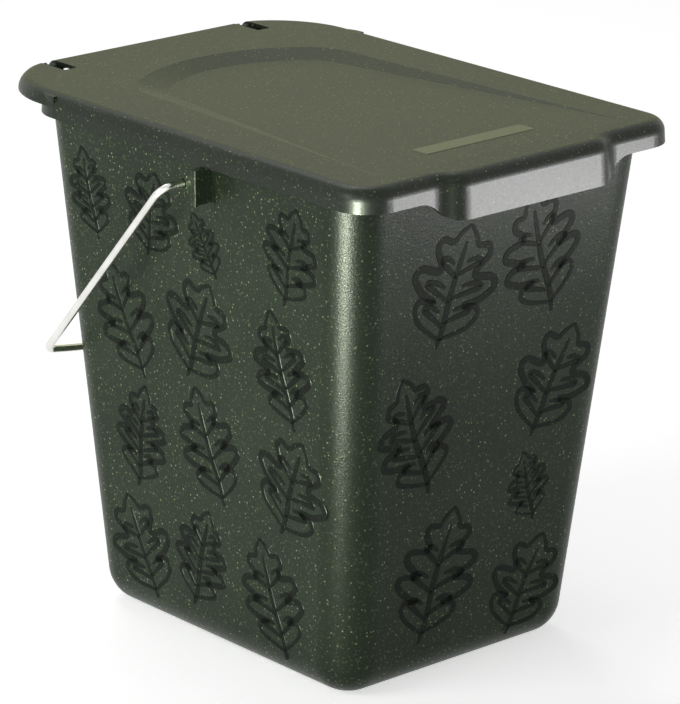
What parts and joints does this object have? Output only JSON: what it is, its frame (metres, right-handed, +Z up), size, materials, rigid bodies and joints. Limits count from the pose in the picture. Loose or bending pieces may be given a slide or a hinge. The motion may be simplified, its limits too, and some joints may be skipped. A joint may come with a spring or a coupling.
{
  "type": "compost caddy",
  "caption": "Tapered kitchen compost caddy with a dished snap-hinged lid, a grip flap at the front and a swinging wire bail that hangs against the rear wall.",
  "frame": {"origin": "on the floor under the middle of the base; the middle of the whole object's box lies about 2 mm behind it", "axes": "+Z up, +Y from the grip flap at the front to the hinge at the rear, +X to the right of someone who looks along +Y"},
  "size_m": [0.2232, 0.3024, 0.275],
  "materials": {
    "bucket_plastic": "finely textured, speckled dark green",
    "lid_plastic": "satin, speckled dark green",
    "bail_steel": "bright drawn wire"
  },
  "bodies": {
    "bucket": {"bucket": "bucket_plastic"},
    "lid": {"lid": "lid_plastic"},
    "bail": {"bail": "bail_steel"}
  },
  "joints": [
    {"name": "lid_hinge", "type": "hinge", "parent": "bucket", "child": "lid", "pos_m": [0, 0.1464, 0.2713], "axis": [-1, 0, 0], "range_deg": [0, 105]},
    {"name": "bail_swing", "type": "hinge", "parent": "bucket", "child": "bail", "pos_m": [0, -0.0025, 0.249], "axis": [1, 0, 0], "range_deg": [0, 188]}
  ]
}
